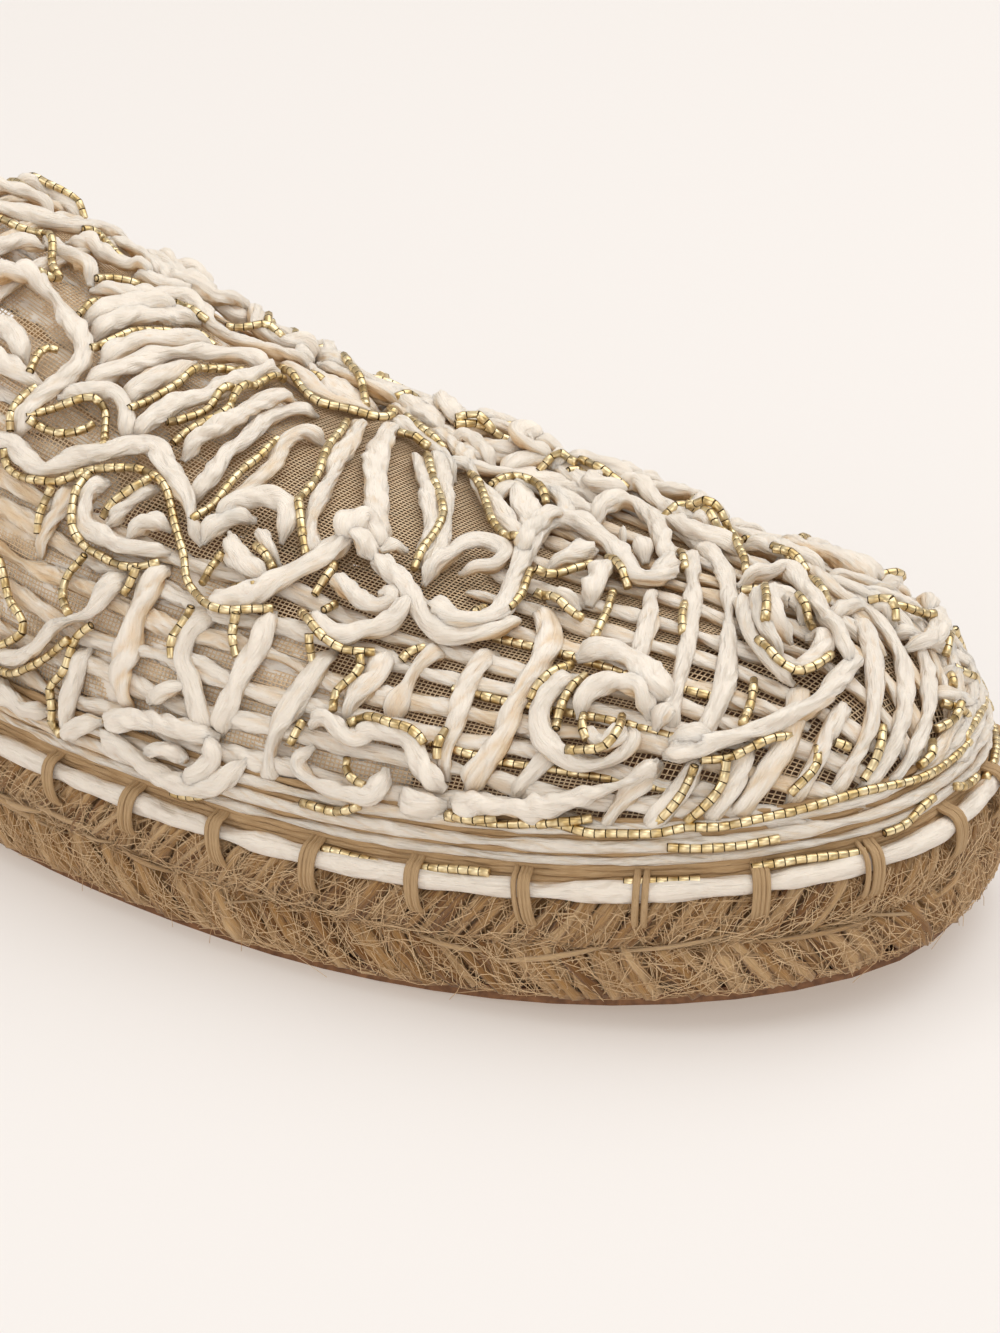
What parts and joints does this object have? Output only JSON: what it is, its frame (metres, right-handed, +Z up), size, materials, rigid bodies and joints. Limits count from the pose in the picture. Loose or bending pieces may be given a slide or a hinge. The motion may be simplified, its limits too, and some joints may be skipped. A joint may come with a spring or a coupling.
{
  "type": "espadrille mule",
  "caption": "Slip-on espadrille mule for the right foot: braided jute sole on thin rubber, openwork raffia upper with scroll, garland and flower cords, open at the back.",
  "frame": {"origin": "middle of the shoe's box, on the floor", "axes": "+X to the toe, +Y to the inner side of the foot, +Z up"},
  "size_m": [0.2498, 0.0862, 0.0667],
  "materials": {
    "rubber_outsole": "matt dark reddish brown rubber",
    "jute": "rough braided jute, tan",
    "insole_cloth": "plain woven cloth, warm brown",
    "raffia": "paper raffia, warm white with a soft sheen",
    "tulle": "fine square mesh, taupe",
    "bead_wire": "pale gold segmented bead cord"
  },
  "bodies": {
    "root": {"outsole": "rubber_outsole", "jute_sole": "jute", "insole": "insole_cloth", "upper": "raffia", "edge_cord": "raffia", "garland_outer": "raffia", "garland_inner": "raffia", "scroll_outer_1": "raffia", "scroll_outer_2": "raffia", "scroll_outer_3": "raffia", "scroll_outer_4": "raffia", "scroll_inner_1": "raffia", "scroll_inner_2": "raffia", "scroll_inner_3": "raffia", "scroll_inner_4": "raffia", "flower": "raffia"}
  },
  "joints": []
}
